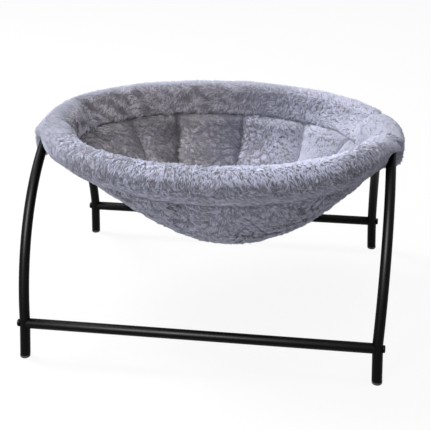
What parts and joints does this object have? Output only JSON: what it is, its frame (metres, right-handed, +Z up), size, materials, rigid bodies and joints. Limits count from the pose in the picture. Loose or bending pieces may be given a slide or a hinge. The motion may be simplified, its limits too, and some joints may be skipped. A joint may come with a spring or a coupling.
{
  "type": "elevated cat bed",
  "caption": "Free-standing oval plush cat hammock: a padded rim and quilted bowl hung on two bent black tube hoops with crossbars near the floor.",
  "frame": {"origin": "on the floor, midway between the four feet", "axes": "+X to the bed's right along its long side, +Y to the back, +Z up"},
  "size_m": [0.4476, 0.3478, 0.2449],
  "materials": {
    "black_tube": "satin black powder coat",
    "foot_rubber": "matte black moulded plastic",
    "zinc_hardware": "zinc plated",
    "plush": "short lavender-grey plush pile",
    "wadding": "white polyester wadding"
  },
  "bodies": {
    "root": {"front_left_leg": "black_tube", "front_right_leg": "black_tube", "rear_left_leg": "black_tube", "rear_right_leg": "black_tube", "front_rim_tube": "black_tube", "rear_rim_tube": "black_tube", "front_crossbar": "black_tube", "rear_crossbar": "black_tube", "front_left_crossbar_screw": "black_tube", "front_right_crossbar_screw": "black_tube", "rear_left_crossbar_screw": "black_tube", "rear_right_crossbar_screw": "black_tube", "front_left_foot_plug": "foot_rubber", "front_right_foot_plug": "foot_rubber", "rear_left_foot_plug": "foot_rubber", "rear_right_foot_plug": "foot_rubber", "front_left_threaded_insert": "zinc_hardware", "front_right_threaded_insert": "zinc_hardware", "rear_left_threaded_insert": "zinc_hardware", "rear_right_threaded_insert": "zinc_hardware", "front_left_coupling_screw": "zinc_hardware", "front_right_coupling_screw": "zinc_hardware", "rear_left_coupling_screw": "zinc_hardware", "rear_right_coupling_screw": "zinc_hardware", "left_crossing_bolt": "zinc_hardware", "right_crossing_bolt": "zinc_hardware", "left_crossing_nut": "zinc_hardware", "right_crossing_nut": "zinc_hardware", "front_rim_sleeve": "plush", "rear_rim_sleeve": "plush", "left_side_lobe": "plush", "right_side_lobe": "plush", "outer_bowl": "plush", "inner_lining": "plush", "bowl_wadding": "wadding"}
  },
  "joints": []
}
